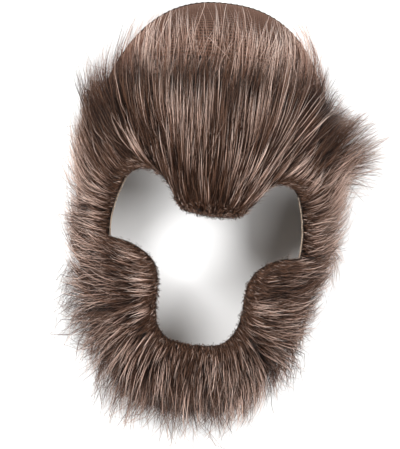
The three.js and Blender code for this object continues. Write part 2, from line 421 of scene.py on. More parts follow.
def skin_material():
    """The fur side of the backing, between the roots of the pile."""
    material, tree, shader = new_material("pile_ground")
    tufts = noise(tree, stretch=(1, 1, 1), scale=420, detail=4)
    tree.links.new(ramp(tree, [(0.3, "#0d0907"), (0.75, "#241a14")], tufts), shader.inputs["Base Color"])
    shader.inputs["Roughness"].default_value = 0.85
    bump_from(tree, shader, tufts, depth=1.0 * MM, strength=0.9)
    return material


def ribbed_material():
    """The cap's knit. Its ribs are in the mesh, whose own rib attribute darkens the valleys between them:
    painted shade in the valleys.
    """
    material, tree, shader = new_material("crown_knit")
    rib = tree.nodes.new("ShaderNodeAttribute")
    rib.attribute_name = "rib"
    columns = wave(tree, "X", 1.4 * MM, distortion=2.0)
    loops = mixed(tree, 0.5, columns, noise(tree, stretch=(1, 1, 1), scale=600))
    shade = mixed(tree, 0.3, rib.outputs["Fac"], loops)
    tree.links.new(ramp(tree, [(0.15, "#1c120d"), (0.85, "#6a4e41")], shade), shader.inputs["Base Color"])
    shader.inputs["Roughness"].default_value = 0.9
    shader.inputs["Specular IOR Level"].default_value = 0.2
    bump_from(tree, shader, loops, depth=0.5 * MM, strength=0.7)
    return material


backing_knit = knit_material(
    "backing_knit", "#65564a", "#9c8b7a", column_pitch=1.1 * MM, course_pitch=1.5 * MM, roughness=0.9
)
crown_knit = ribbed_material()
pile_ground = skin_material()
print("cloth materials", [backing_knit.name, crown_knit.name, pile_ground.name])

# %% [markdown]
# ## The backing of the two pelts
# Each pelt is cut from one piece of backed fur. Its cloth could be simulated, but it is stiff and already
# fits the head, so a flat grid is laid on the head form, row by row from the opening to the far edge, and
# given its thickness by Solidify. Beside the eyes the cut edge stays the pale colour of the knit, and
# elsewhere the pile's dark roots reach over it.

# %% Pelt cloth
CLOTH_THICKNESS = 1.1 * MM
BROW_COLUMNS, BEARD_COLUMNS, CLOTH_ROWS = 110, 100, 32
RIM_SNAP = 0.02 * MM
CUT_EDGE_SLANT = 0.55
CRISP_ANGLE = 50


def lay_cloth(name, columns, rows, place_at, thickness):
    """A closed cloth on the head form. The grid's x is along or across, from -1 to 1, and its y is out."""
    bpy.ops.mesh.primitive_grid_add(x_subdivisions=columns, y_subdivisions=rows, size=2)
    piece = bpy.context.object
    piece.name = piece.data.name = name
    flat = points_of(piece.data)
    placed = place_at(flat[:, 0], (flat[:, 1] + 1) / 2)
    rim = placed[:, 2] < RIM_SNAP
    placed[rim, 2] = 0
    move_points(piece.data, placed)
    if (face_values(piece.data, "normal", 3) * face_values(piece.data, "center", 3)).sum() < 0:
        bpy.ops.object.mode_set(mode="EDIT")
        bpy.ops.mesh.select_all(action="SELECT")
        bpy.ops.mesh.flip_normals()
        bpy.ops.object.mode_set(mode="OBJECT")
    apply_modifier(piece, "SOLIDIFY", thickness=thickness, offset=1)
    solid = points_of(piece.data)
    solid[:, 2] = np.maximum(solid[:, 2], 0)
    move_points(piece.data, solid)
    piece.data.shade_smooth()
    return piece


STRAIGHT_ACROSS, STRAIGHT_DOWN = (46 * MM, 54 * MM), (24 * MM, 12 * MM)


def straight_side(place):
    """1 beside the eyes, where the opening's edge is straight, and 0 elsewhere."""
    return smooth(np.abs(place[..., 0]), *STRAIGHT_ACROSS) * smooth(place[..., 1], *STRAIGHT_DOWN)


def paint_sides(piece, outer, inner):
    """One material for the outer skin and the edge that pile covers, one for the inner skin and bare edge."""
    piece.data.materials.append(inner)
    piece.data.materials.append(outer)
    centre = face_values(piece.data, "center", 3)
    facing = (face_values(piece.data, "normal", 3) * outward(centre)).sum(1)
    bare = straight_side(centre) > 0.5
    is_outer = facing > np.where(bare, CUT_EDGE_SLANT, -CUT_EDGE_SLANT)
    piece.data.polygons.foreach_set("material_index", is_outer.astype(np.int32))
    piece.data.update()


def soft_edges(piece):
    """The skins stay smooth and the cut edges stay crisp."""
    pick(piece)
    bpy.ops.object.shade_smooth_by_angle(angle=math.radians(CRISP_ANGLE))


def short_of_seam(place_at):
    """The same places, but the cloth stops just short of the seam between the two pelts."""
    return lambda along, out: place_at(along * (1 - SEAM_INSET), out)


brow_backing = lay_cloth(
    "brow_backing", BROW_COLUMNS, CLOTH_ROWS, short_of_seam(brow_place), CLOTH_THICKNESS
)
beard_backing = lay_cloth(
    "beard_backing", BEARD_COLUMNS, CLOTH_ROWS, short_of_seam(beard_place), CLOTH_THICKNESS
)
for pelt in (brow_backing, beard_backing):
    paint_sides(pelt, pile_ground, backing_knit)
    soft_edges(pelt)
    print(pelt.name, triangles_of(pelt), "triangles")

# %% [markdown]
# ## The crown cap
# The cap is cut from a ribbed knit and pulled over the back of the head. Its ribs run from ear to ear and
# show as fine ridges, so they are real relief: a wave of height over the rows of the grid. Round the rim
# the edge is folded over once, which makes a thicker band with a line of stitches.

# %% Cap cloth with ribs and a folded rim
CAP_THICKNESS = 1.7 * MM
RIB_PITCH = 2.8 * MM
RIB_HEIGHT = 0.6 * MM
ROWS_A_RIB = 6
HEM_WIDTH = 10 * MM
HEM_EXTRA = 1.0 * MM
HEM_SLOPE = 0.6 * MM
HEM_RIB_LOSS = 0.5
CAP_COLUMNS = 72

cap_length = np.linalg.norm(np.diff(cap_place(0.0, np.linspace(0, 1, 200)), axis=0), axis=1).sum()
rib_count = round(cap_length / RIB_PITCH)
crown_cap = lay_cloth("crown_knit_cap", CAP_COLUMNS, rib_count * ROWS_A_RIB, cap_place, CAP_THICKNESS)
cloth = points_of(crown_cap.data)
off_skin, straight_off = height_over(cloth)
outer_skin = smooth(off_skin, 0.4 * CAP_THICKNESS, 0.8 * CAP_THICKNESS)
print("cap", round(float(cap_length * 1000), 1), "mm from seam to rim,", rib_count, "ribs")

# %% Ribs follow the rows of the grid
cap_mesh = crown_cap.data
grid_points = (CAP_COLUMNS + 1) * (rib_count * ROWS_A_RIB + 1)
row_of = (np.arange(len(cloth)) % grid_points) // (CAP_COLUMNS + 1)
out_share = row_of / (rib_count * ROWS_A_RIB)
from_rim = (1 - out_share) * cap_length
hem = smooth(from_rim, HEM_WIDTH + HEM_SLOPE, HEM_WIDTH - HEM_SLOPE)
rib = (0.5 + 0.5 * np.cos(2 * math.pi * row_of / ROWS_A_RIB)) * (1 - HEM_RIB_LOSS * hem)
cloth += straight_off * ((RIB_HEIGHT * rib + HEM_EXTRA * hem) * outer_skin)[:, None]
cloth[:, 2] = np.maximum(cloth[:, 2], 0)
move_points(cap_mesh, cloth)
# The rib attribute also darkens the cap's colour in the valleys between ribs, as painted shade.
cap_mesh.attributes.new("rib", "FLOAT", "POINT").data.foreach_set("value", rib.astype(np.float32))
crown_cap.data.materials.append(crown_knit)
soft_edges(crown_cap)
print(crown_cap.name, triangles_of(crown_cap), "triangles")

# %% [markdown]
# ## The stitches of the hem
# A row of plain stitches holds the folded rim. One stitch is modelled, a small bead drawn out along the
# thread and half sunk in the cloth, and then copied with equal gaps along the hem's upper edge.


# %% One stitch, copied along the hem
STITCH_LENGTH = 2.6 * MM
STITCH_PITCH = 3.6 * MM
STITCH_HALF_WIDTH = 0.4 * MM
STITCH_BELOW_FOLD = 1.4 * MM
STITCH_LIFT = 0.3
STITCHED_TO = 0.985
LINE_POINTS = 2000
LOOK_AHEAD = 0.5 * MM

bpy.ops.mesh.primitive_ico_sphere_add(subdivisions=1, radius=1)
stitch = bpy.context.object
stitch.name = stitch.data.name = "stitch"
bpy.ops.transform.resize(value=(STITCH_LENGTH / 2, STITCH_HALF_WIDTH, STITCH_HALF_WIDTH))
bpy.ops.object.transform_apply(location=False, rotation=False, scale=True)

hem_out = 1 - (HEM_WIDTH - STITCH_BELOW_FOLD) / cap_length
across = np.linspace(-STITCHED_TO, STITCHED_TO, LINE_POINTS)
hem_line = cap_place(across, np.full(LINE_POINTS, hem_out))
hem_line = hem_line + outward(hem_line) * (CAP_THICKNESS + HEM_EXTRA + STITCH_LIFT * RIB_HEIGHT)
walked = np.concatenate([[0], np.cumsum(np.linalg.norm(np.diff(hem_line, axis=0), axis=1))])
stitch_count = round(walked[-1] / STITCH_PITCH)
stops = (np.arange(stitch_count) + 0.5) * walked[-1] / stitch_count
middles, ahead = [
    np.stack([np.interp(stops + shift, walked, hem_line[:, i]) for i in range(3)], -1)
    for shift in (0, LOOK_AHEAD)
]
thread_way = unit(ahead - middles)
off_way = outward(middles)
side_way = np.cross(off_way, thread_way)
bead = points_of(stitch.data)
beads = middles[:, None]
for axis, way in enumerate((thread_way, side_way, off_way)):
    beads = beads + bead[:, axis, None] * way[:, None]
print(stitch_count, "stitches")

# %% Join the stitches
faces = np.array([face.vertices[:] for face in stitch.data.polygons])
all_faces = (faces + np.arange(stitch_count)[:, None, None] * len(bead)).reshape(-1, 3)
stitch_mesh = bpy.data.meshes.new("hem_stitches")
stitch_mesh.from_pydata(beads.reshape(-1, 3).tolist(), [], all_faces.tolist())
stitch_mesh.shade_smooth()
hem_stitches = bpy.data.objects.new("hem_stitches", stitch_mesh)
bpy.context.scene.collection.objects.link(hem_stitches)
bpy.data.objects.remove(stitch)
thread, _, thread_shader = new_material("hem_thread")
thread_shader.inputs["Base Color"].default_value = linear("#2f211b")
thread_shader.inputs["Roughness"].default_value = 0.6
hem_stitches.data.materials.append(thread)
print(hem_stitches.name, triangles_of(hem_stitches), "triangles")

# %% [markdown]
# ## Which way the fur lies
# The pile was woven to lie one way and then brushed: up over the forehead, out over the temples and cheeks
# and down at the chin. At the edge of the opening it is clipped short. A texture could hold that lie, but
# one rule gives it anywhere on the head and is easy to change. A few tufts then alter its length, its rise,
# its bend and how closely it hugs the head. In the next cells a pair of places, of angles or of shares of
# the way out says where a change starts and where it is complete.

# %% Which way it is combed
NOISE_GAIN = 1.6
PARTING_DROP, CHEEK_PARTING_DROP, CROWN_PARTING_DROP = 12 * MM, 40 * MM, -25 * MM
CHEEK_TO_FOREHEAD, FOREHEAD_TO_CROWN = (-45 * MM, 10 * MM), (65 * MM, 105 * MM)
RIGHT_TO_LEFT = (10 * MM, -30 * MM)
UPRIGHT_SHARE, UPRIGHT_LEFT_EXTRA = 0.62, 0.2
UPRIGHT_FULL, UPRIGHT_GONE, UPRIGHT_LEFT_RAISED = 60, 98, 10
UPRIGHT_ACROSS = (72 * MM, 20 * MM)


def soft_noise(p, size, seed):
    """A smooth unevenness from about -1 to 1 that changes over about the given size."""
    turns = np.random.default_rng(seed).normal(size=(4, 3)) / size
    shifts = np.random.default_rng(seed + 1).uniform(0, 2 * math.pi, 4)
    return np.sin(p @ turns.T + shifts).mean(-1) * NOISE_GAIN


def fur_angle(p):
    """The way the fur lies in the plan: a fan, combed upright over the forehead but not at the crown."""
    x, y = p[..., 0], p[..., 1]
    drop = mix(CHEEK_PARTING_DROP, PARTING_DROP, smooth(y, *CHEEK_TO_FOREHEAD))
    drop = mix(drop, CROWN_PARTING_DROP, smooth(y, *FOREHEAD_TO_CROWN))
    fan = np.arctan2(y + drop, np.abs(x))
    left = smooth(x, *RIGHT_TO_LEFT)
    raised = UPRIGHT_LEFT_RAISED * left
    below_crown = smooth(y, (UPRIGHT_GONE + raised) * MM, (UPRIGHT_FULL + raised) * MM)
    share = UPRIGHT_SHARE * smooth(np.abs(x), *UPRIGHT_ACROSS) + UPRIGHT_LEFT_EXTRA * left
    share = share * below_crown * np.sin(np.maximum(fan, 0)) ** 2
    upright = mix(fan, math.pi / 2, share)
    return np.where(x < 0, math.pi - upright, upright)


cheeks = np.array([[-60, -20, 50], [60, -20, 50]]) * MM
print("the cheeks' fur lies at", np.degrees(fur_angle(cheeks)).round(), "degrees")

# %% How long it is and how far it stands up
CHIN_FUR, BROW_FUR, CROWN_FUR = 28 * MM, 40 * MM, 46 * MM
CHIN_RISE, BROW_RISE, CROWN_RISE = 38, 24, 10
CHIN_TO_BROW, BROW_TO_CROWN = (-40 * MM, 20 * MM), (62 * MM, 78 * MM)
SIDE_HUG, HUG_GROWS = 0.9, (20 * MM, 75 * MM)
BAND_SHARE, BAND_ON_LONG_HAIRS = 0.5, 0.3
BAND_UP, BAND_ACROSS = (25 * MM, 60 * MM), (66 * MM, 48 * MM)
EDGE_SHARE, EDGE_OUTS = 0.45, (0, 0.35)
RIM_SHARE, CHIN_RIM_SHARE, CHIN_RIM_UP = 0.75, 0.2, (-95 * MM, -60 * MM)
CHIN_RIM_FROM, BROW_RIM_FROM = 0.35, 0.55
SIDE_SHARE, SIDE_ACROSS, SIDE_UP = 0.75, (50 * MM, 66 * MM), (30 * MM, 60 * MM)
DOME_RIGHT, DOME_LEFT, DOME_OUTS = (34, 50), (125, 105), (0.3, 0.7)
CHIN_FLATNESS, RIM_FLATNESS, DOME_FLATNESS = 0.35, 0.55, 0.55
FLAT_UP, FLAT_OUTS = (-85 * MM, -50 * MM), (0.45, 0.9)
CHEEK_EDGE_LIFT, BROW_EDGE_LIFT, LIFTED_OUTS = 0.9, 0.35, (0.25, 0.0)
TUFT_OUTS = (0.1, 0.5)
LEAST_FUR, LEAST_RISE = 4 * MM, 3
TUFTS = (
    # angle round the head, spread, extra mm of the coat and of long hairs, extra rise, change of hug, bend
    (27, 8, -26, 13, 6, -0.38, -17),
    (42, 8, -19, 1, 0, -0.05, -20),
    (55, 10, 8, 14, 8, -0.2, 0),
    (127, 8, 4, 3, 2, -0.05, 0),
    (142, 8, -21, 5, 3, -0.17, 0),
    (15, 7, -9, -6, 0, 0, 0),
    (4, 11, -4, -2, -3, 0.05, 0),
    (-10, 11, 3, 5, -2, 0.05, 0),
    (166, 13, -15, 0, -4, 0, 0),
    (184, 11, -20, 0, -9, 0.1, 0),
    (206, 19, -27, 2, -10, 0.05, 0),
    (227, 13, -21, 2, 0, -0.05, 0),
    (251, 12, 4, 8, 4, -0.1, 0),
    (-54, 9, -11, 2, 0, 0, 0),
    (-70, 10, 10, 8, 3, 0, 0),
    (-32, 22, -14, 1, -6, 0.1, 0),
    (-90, 30, -1, 4, 8, 0.05, 0),
)


def coat_at(p, out, trimmed=1.0):
    """Length, rise at the root in degrees, hug and bend in degrees of the fur at places on the head.

    trimmed says how far the scissors' work shows: 1 as on the coat, 0 not at all, as on the pale streaks.
    """
    x, y = p[..., 0], p[..., 1]
    around = np.degrees(np.arctan2(y, x))
    brow, crown = smooth(y, *CHIN_TO_BROW), smooth(y, *BROW_TO_CROWN)
    band = smooth(y, *BAND_UP) * (1 - crown) * smooth(np.abs(x), *BAND_ACROSS)
    side = smooth(np.abs(x), *SIDE_ACROSS) * smooth(y, *SIDE_UP)
    dome = smooth(around, *DOME_RIGHT) * smooth(around, *DOME_LEFT) * smooth(out, *DOME_OUTS)

    length = mix(mix(CHIN_FUR, BROW_FUR, brow), CROWN_FUR, crown)
    length = length * mix(1, BAND_SHARE, band * mix(BAND_ON_LONG_HAIRS, 1, trimmed))
    length = length * mix(EDGE_SHARE, 1, smooth(out, *EDGE_OUTS))
    rim_share = mix(CHIN_RIM_SHARE, RIM_SHARE, smooth(y, *CHIN_RIM_UP))
    near_rim = smooth(out, mix(CHIN_RIM_FROM, BROW_RIM_FROM, brow), 1)
    length = length * mix(1, rim_share, trimmed * near_rim)
    length = length * mix(1, SIDE_SHARE, side)

    rise = mix(mix(CHIN_RISE, BROW_RISE, brow), CROWN_RISE, crown)
    flatness = mix(CHIN_FLATNESS, RIM_FLATNESS, smooth(y, *FLAT_UP))
    rise = rise * mix(1, flatness, smooth(out, *FLAT_OUTS)) * mix(1, DOME_FLATNESS, dome)
    rise = rise * (1 + mix(CHEEK_EDGE_LIFT, BROW_EDGE_LIFT, brow) * smooth(out, *LIFTED_OUTS))

    hug = mix(SIDE_HUG, 1, smooth(y, *HUG_GROWS))
    bend = np.zeros_like(around)
    for angle, spread, more, longer, steeper, closer, bent in TUFTS:
        away = np.abs((around - angle + 540) % 360 - 180) / spread
        strength = np.exp(-away**2) * smooth(out, *TUFT_OUTS)
        length = length + mix(longer, more, trimmed) * MM * strength
        rise = rise + steeper * strength
        hug = hug + closer * strength
        bend = bend + bent * strength
    hug = np.clip(mix(hug, 1, dome), 0, 1)
    return np.maximum(length, LEAST_FUR), np.maximum(rise, LEAST_RISE), hug, bend


test_outs = np.array([0.05, 0.5, 0.95])
fur_lengths = coat_at(brow_place(np.zeros(3), test_outs), test_outs)[0]
print("fur over the brow, mm:", (fur_lengths / MM).round(1))

# %% Its tones
PATCHINESS = 12 * MM
PALEST = 0.999
# Hairs in a band over the brow are darkened as painted shade: the gaps between its locks, where the roots
# show, lie in shadow.
BAND_PAINTED_SHADE, BAND_UNEVEN = 0.36, 4 * MM
BAND_FOOT, BAND_TOP = (46 * MM, 58 * MM), (80 * MM, 67 * MM)
BAND_ON_RIGHT, BAND_FADES = 0.3, (50 * MM, 64 * MM)
# The temples' darkening is painted shade on the fur at the sides of the head, darkest at the right temple's
# inner part.
LEFT_TEMPLE_SHADE, RIGHT_TEMPLE_SHADE, RIGHT_SIDE_SHADE = 0.28, 0.55, 0.12
TEMPLE_ACROSS, TEMPLE_UP, TEMPLE_OUTS = (38 * MM, 56 * MM), (10 * MM, 32 * MM), (0.95, 0.65)
RIGHT_SIDE_ACROSS = (50 * MM, 66 * MM)
# The beard is darker, and its rim at the chin darker still: that rim's darkening is painted shadow under the
# chin.
BEARD_DARK, BEARD_RIM_SHADOW, BEARD_DOWN, BEARD_OUTS = 0.06, 0.16, (0, -40 * MM), (0.6, 1)
# The cheeks' sides are paler: partly paler tips, partly a painted sheen of the light from the sides.
CHEEK_PALE_AND_SHEEN, CHEEK_ACROSS, CHEEK_UP = 0.14, (52 * MM, 66 * MM), (40 * MM, 15 * MM)
EDGE_DARK, EDGE_TONE_OUTS = 0.04, (0.3, 0.0)
COAT_DARK = 0.02
WARM_SIDES, WARM_UNEVEN, WARM_UP = 0.25, 5 * MM, (62 * MM, 98 * MM)


def tone_at(p, out):
    """How much paler a hair is than the tone it drew: darker in the band and at the temples, as painted
    shade, darker on the beard and most at the chin's rim, as painted shadow, and paler at the cheeks' sides,
    partly paler tips and partly a painted sheen.
    """
    x, y = p[..., 0], p[..., 1]
    uneven = y + BAND_UNEVEN * soft_noise(p, PATCHINESS, 7)
    band = smooth(uneven, *BAND_FOOT) * smooth(uneven, *BAND_TOP)
    band = band * mix(1, BAND_ON_RIGHT, smooth(x, *BAND_FADES))
    temple = smooth(np.abs(x), *TEMPLE_ACROSS) * smooth(y, *TEMPLE_UP)
    right_shade = mix(RIGHT_TEMPLE_SHADE, RIGHT_SIDE_SHADE, smooth(x, *RIGHT_SIDE_ACROSS))
    temple = temple * mix(LEFT_TEMPLE_SHADE, right_shade, x > 0)
    beard = smooth(y, *BEARD_DOWN) * mix(BEARD_DARK, BEARD_RIM_SHADOW, smooth(out, *BEARD_OUTS))
    cheek = smooth(np.abs(x), *CHEEK_ACROSS) * smooth(np.abs(y), *CHEEK_UP)
    dark = BAND_PAINTED_SHADE * band + temple * smooth(out, *TEMPLE_OUTS) + beard
    return CHEEK_PALE_AND_SHEEN * cheek - EDGE_DARK * smooth(out, *EDGE_TONE_OUTS) - dark - COAT_DARK


def warmth_at(p):
    """The share of the hairs that have the crown's warmer colour."""
    height = p[..., 1] + WARM_SIDES * np.abs(p[..., 0]) + WARM_UNEVEN * soft_noise(p, PATCHINESS, 3)
    return smooth(height, *WARM_UP)


def fur_tone(tone, is_warm):
    """The place on the fur map for a tone from 0 to 1, in the cool coat or the warm one."""
    tone = np.clip(tone, 0, PALEST)
    return np.where(is_warm, mix(WARM_FROM, 1, tone), WARM_FROM * tone)


print("warm hairs at the crown:", warmth_at(np.array([[0, 100, 60]]) * MM).round(2))

# %% [markdown]
# ## One hair
# A hair is a long thin spike. A curve with a bevel would do, but tens of thousands of curves are slow and
# bake badly, so a spike is modelled with three sides: a triangle is extruded along its length, ring by
# ring, swelling a little above the root, and its last ring is gathered into the tip. It has only a few
# faces. The coat needs three such spikes: a plain one, one with a ring more for wavy hair, and one with a
# ring less for short and straight hair.


# %% Model the spikes
def model_hair(name, radii):
    """A closed spike up the z axis from 0 to 1. radii are the sizes of its rings, from the root up."""
    bpy.ops.mesh.primitive_circle_add(vertices=3, radius=radii[0], fill_type="NGON")
    hair = bpy.context.object
    hair.name = hair.data.name = name
    bpy.ops.object.mode_set(mode="EDIT")
    bpy.ops.mesh.select_all(action="SELECT")
    for before, after in zip(radii, [*radii[1:], None]):
        bpy.ops.mesh.extrude_region_move(TRANSFORM_OT_translate={"value": (0, 0, 1 / len(radii))})
        if after is None:
            bpy.ops.mesh.merge(type="CENTER")
        else:
            bpy.ops.transform.resize(value=(after / before, after / before, 1))
    bpy.ops.mesh.select_all(action="SELECT")
    bpy.ops.mesh.normals_make_consistent(inside=False)
    bpy.ops.object.mode_set(mode="OBJECT")
    return hair


guard_hair = model_hair("guard_hair", [0.8, 1.0, 0.65])
wavy_hair = model_hair("wavy_hair", [0.8, 1.0, 0.85, 0.55])
short_hair = model_hair("short_hair", [1.0, 0.75])
for hair in (guard_hair, wavy_hair, short_hair):
    print(hair.name, len(hair.data.vertices), "points,", triangles_of(hair), "triangles")

# %% [markdown]
# ## Combing
# A hair leaves the cloth at an angle, bends over and lies along the coat. Its path is walked in small
# steps: each step goes the way that the fur lies there, turned a little by the hair's own whim, and lifted
# by a rise that fades from root to tip. Hair curves could be combed by hand, but a walk can be changed and
# run again. The paths are pushed out of the cloth and off the floor, and cut where they leave the mask's
# box.

# %% Walk the paths
STEPS = 10
FLOOR_GAP, SKIN_GAP = 0.5 * MM, 0.5 * MM
WAVES = 1.6
TRIM_BOX = np.array([117, 154, 118]) * MM


def walk(root, length, rise, hug, turn, bend, tip_rise, wave_size, wave_phase, decay):
    """Paths of STEPS + 1 points. turn and bend are each hair's turn off the coat's lie, in radians."""
    path = [root]
    place = root
    for step in range(STEPS):
        share = (step + 0.5) / STEPS
        normal = outward(place)
        wave_here = wave_size * np.sin(2 * math.pi * (share * WAVES) + wave_phase) * share
        angle = fur_angle(place) + (turn + 2 * bend * share + wave_here)
        lie = np.stack([np.cos(angle), np.sin(angle), np.zeros_like(angle)], -1)
        lie = unit(lie - normal * ((lie * normal).sum(-1) * hug)[:, None])
        lift = np.radians(rise * (1 - share) ** decay + tip_rise)
        way = lie * np.cos(lift)[:, None] + normal * np.sin(lift)[:, None]
        place = place + way * (length / STEPS)[:, None]
        path.append(place)
    return np.stack(path, 1)


def keep_off(paths):
    """Paths pushed out of the cloth and off the floor that the mask lies on."""
    off, straight = height_over(paths)
    paths = paths + straight * np.maximum(SKIN_GAP - off, 0)[..., None]
    paths[..., 2] = np.maximum(paths[..., 2], FLOOR_GAP)
    return paths


def trim(paths):
    """The longest hairs are cut off where they leave the mask's box."""
    outside = (np.abs(paths + CENTRE) > TRIM_BOX).any(-1)
    kept = np.where(outside.any(1), outside.argmax(1) - 1, STEPS)
    return along_path(paths, np.maximum(kept, 1) / STEPS)


def along_path(paths, ratio):
    """Each path as far as a hair of ratio times its length reaches, and straight on past its end."""
    at = np.arange(STEPS + 1) * ratio[:, None]
    first = np.minimum(at.astype(int), STEPS - 1)
    rows = np.arange(len(paths))[:, None]
    start = paths[rows, first]
    return start + (paths[rows, first + 1] - start) * (at - first)[..., None]


print("a path has", STEPS + 1, "points")

# %% Find places and neighbours
CELLS_ALONG, CELLS_OUT = 120, 80


def sample(place_at, within, density, count, rng):
    """count places over the cloth, weighted by area and density: how far out, where, and the area in all."""
    (low_along, high_along), (low_out, high_out) = within
    along, out = np.meshgrid(
        np.linspace(low_along, high_along, CELLS_ALONG + 1),
        np.linspace(low_out, high_out, CELLS_OUT + 1),
        indexing="ij",
    )
    grid = place_at(along, out)
    along_step = np.diff(grid, axis=0)[:, :-1]
    out_step = np.diff(grid, axis=1)[:-1]
    area = np.linalg.norm(np.cross(along_step, out_step), axis=-1)
    weight = (area * density(along[:-1, :-1], out[:-1, :-1])).ravel()
    cell = rng.choice(len(weight), size=count, p=weight / weight.sum())
    column, row = np.divmod(cell, CELLS_OUT)
    drawn_along = mix(low_along, high_along, (column + rng.random(count)) / CELLS_ALONG)
    drawn_out = mix(low_out, high_out, (row + rng.random(count)) / CELLS_OUT)
    return drawn_out, place_at(drawn_along, drawn_out), area.sum()


def nearest(points, centres, chunk=4000):
    """For each point, the number of the nearest centre."""
    found = [
        np.argmin(((points[i:i + chunk, None] - centres) ** 2).sum(-1), 1)
        for i in range(0, len(points), chunk)
    ]
    return np.concatenate(found)


print("roots are drawn from", CELLS_ALONG * CELLS_OUT, "cells of a patch")

# %% [markdown]
# ## Copying the hair
# The modelled spike is copied along each path: its height follows the path and its three corners stand
# round it, as wide as the hair is. Thousands of copies share one mesh, because an object for every hair
# would choke any program. Each copy gets its own narrow strip of the fur map, which is its tone.

# %% Plant hairs along paths
TONE_STRIPS = 128
HAIR_FLATNESS = 0.7
STRIP_MARGIN, CLIMB_MARGIN = 0.1, 0.004


def stations(paths, shares):
    """Points and the ways across and off each path, at shares of its length."""
    at = shares * STEPS
    first = np.minimum(at.astype(int), STEPS - 1)
    part = (at - first)[None, :, None]
    point = paths[:, first] * (1 - part) + paths[:, first + 1] * part
    before = np.maximum(first - 1, 0)
    after = np.minimum(first + 2, STEPS)
    ahead = unit(paths[:, after] - paths[:, before])
    side = unit(np.cross(outward(paths[:, :1]), ahead))
    return point, side, np.cross(ahead, side)


def copies(spike, paths, width, tone):
    """The points, faces and map of one spike copied along each path."""
    base = points_of(spike.data)
    point, side, up = stations(paths, base[:, 2])
    points = point + side * (base[:, 0] * width[:, None])[..., None]
    points = points + up * (HAIR_FLATNESS * base[:, 1] * width[:, None])[..., None]
    corners = np.array([v for face in spike.data.polygons for v in face.vertices])
    sizes = np.array([len(face.vertices) for face in spike.data.polygons])
    turned = np.arctan2(base[corners, 0], base[corners, 1]) / (2 * math.pi) + 0.5
    in_strip = STRIP_MARGIN + (1 - 2 * STRIP_MARGIN) * turned
    strip = (np.floor(tone * TONE_STRIPS)[:, None] + in_strip) / TONE_STRIPS
    climb = CLIMB_MARGIN + (1 - 2 * CLIMB_MARGIN) * base[corners, 2] + CLIMB_MARGIN * turned
    first = np.arange(len(paths))[:, None] * len(base)
    return {
        "points": points.reshape(-1, 3) + CENTRE,
        "corners": (corners + first).ravel(),
        "sizes": np.tile(sizes, len(paths)),
        "map": np.stack([strip, np.broadcast_to(climb, strip.shape)], -1).reshape(-1, 2),
    }


def join_copies(name, parts, material):
    """One mesh from several blocks of copies."""
    mesh = bpy.data.meshes.new(name)
    offsets = np.cumsum([0] + [len(part["points"]) for part in parts[:-1]])
    points = np.concatenate([part["points"] for part in parts])
    corners = np.concatenate([part["corners"] + offset for part, offset in zip(parts, offsets)])
    sizes = np.concatenate([part["sizes"] for part in parts])
    mesh.vertices.add(len(points))
    mesh.vertices.foreach_set("co", points.astype(np.float32).ravel())
    mesh.loops.add(len(corners))
    mesh.loops.foreach_set("vertex_index", corners.astype(np.int32))
    mesh.polygons.add(len(sizes))
    starts = np.concatenate([[0], np.cumsum(sizes)[:-1]])
    mesh.polygons.foreach_set("loop_start", starts.astype(np.int32))
    mesh.uv_layers.new(name=FUR_MAP)
    fur_map = np.concatenate([part["map"] for part in parts])
    mesh.uv_layers[FUR_MAP].data.foreach_set("uv", fur_map.astype(np.float32).ravel())
    mesh.update(calc_edges=True)
    mesh.validate()
    mesh.shade_smooth()
    mesh.materials.append(material)
    piece = bpy.data.objects.new(name, mesh)
    bpy.context.scene.collection.objects.link(piece)
    return piece


print("the fur map has", TONE_STRIPS, "strips of tone")

# %% [markdown]
# ## Growing a patch of fur
# Each patch of a pelt is grown in the same order. The roots of locks and wisps are strewn over it first, for
# hairs cling together in wisps and wisps in locks. Then come the dark undercoat, the guard hairs, the long
# hairs over them, pale streaks, a few loose hairs that no comb caught, and bristles along the clipped edge.
# Blender's hair curves could do this, but they are no mesh, so each hair's path is drawn here towards the
# path of its wisp and of its lock, more and more up to the tip. The patches differ only in where they lie,
# how full they are and how they are dressed.

# %% Strew roots and start their paths
ROOT_HEIGHT = 0.6
DENSE_OUTS = (0.16, 0.0)
RISE_DECAY = 1.5
WHIM_SIZE = 14 * MM
WAVE_SIZES = (0.4, 1.3)


def edge_dense(along, out):
    """Twice as dense at the edge of the opening as elsewhere."""
    return 1 + smooth(out, *DENSE_OUTS)


def strew(patch, count, band=None, density=edge_dense):
    """Roots spread over the patch, or over a band of it, and how far out each one is."""
    out, root, _ = sample(patch.place_at, band or patch.within, density, count, patch.rng)
    return out, root + outward(root) * ROOT_HEIGHT * CLOTH_THICKNESS


def paths_from(patch, out, root, length_share, turn_spread, rise_share, tip_rise, trimmed=1.0):
    """Paths as the coat lies at their roots, each with a whim of its own, and their lengths."""
    count = len(root)
    length, rise, hug, bend = coat_at(root, out, trimmed)
    length = length * length_share
    whim = patch.rng.normal(0, turn_spread, count)
    whim = whim + patch.dress["uneven"] * soft_noise(root, WHIM_SIZE, patch.seed)
    wave_size = patch.dress["wavy"] * patch.rng.uniform(*WAVE_SIZES, count)
    wave_phase = patch.rng.uniform(0, 2 * math.pi, count)
    rise, bend = rise * rise_share, np.radians(bend)
    paths = walk(root, length, rise, hug, whim, bend, tip_rise, wave_size, wave_phase, RISE_DECAY)
    return paths, length


# %% Lay the locks and wisps
LOCK_SPACING = 10 * MM
LEAST_LOCKS, LEAST_WISPS = 8, 30
LOCK_REACHES, LONG_LOCK, LONG_LOCK_SHARE = (0.8, 1.0), 0.3, 0.2
WISP_LENGTHS, WISP_RISES = (0.8, 1.15), (0.7, 1.25)
WISP_SPREAD = 0.8
WISP_TONE = 0.09


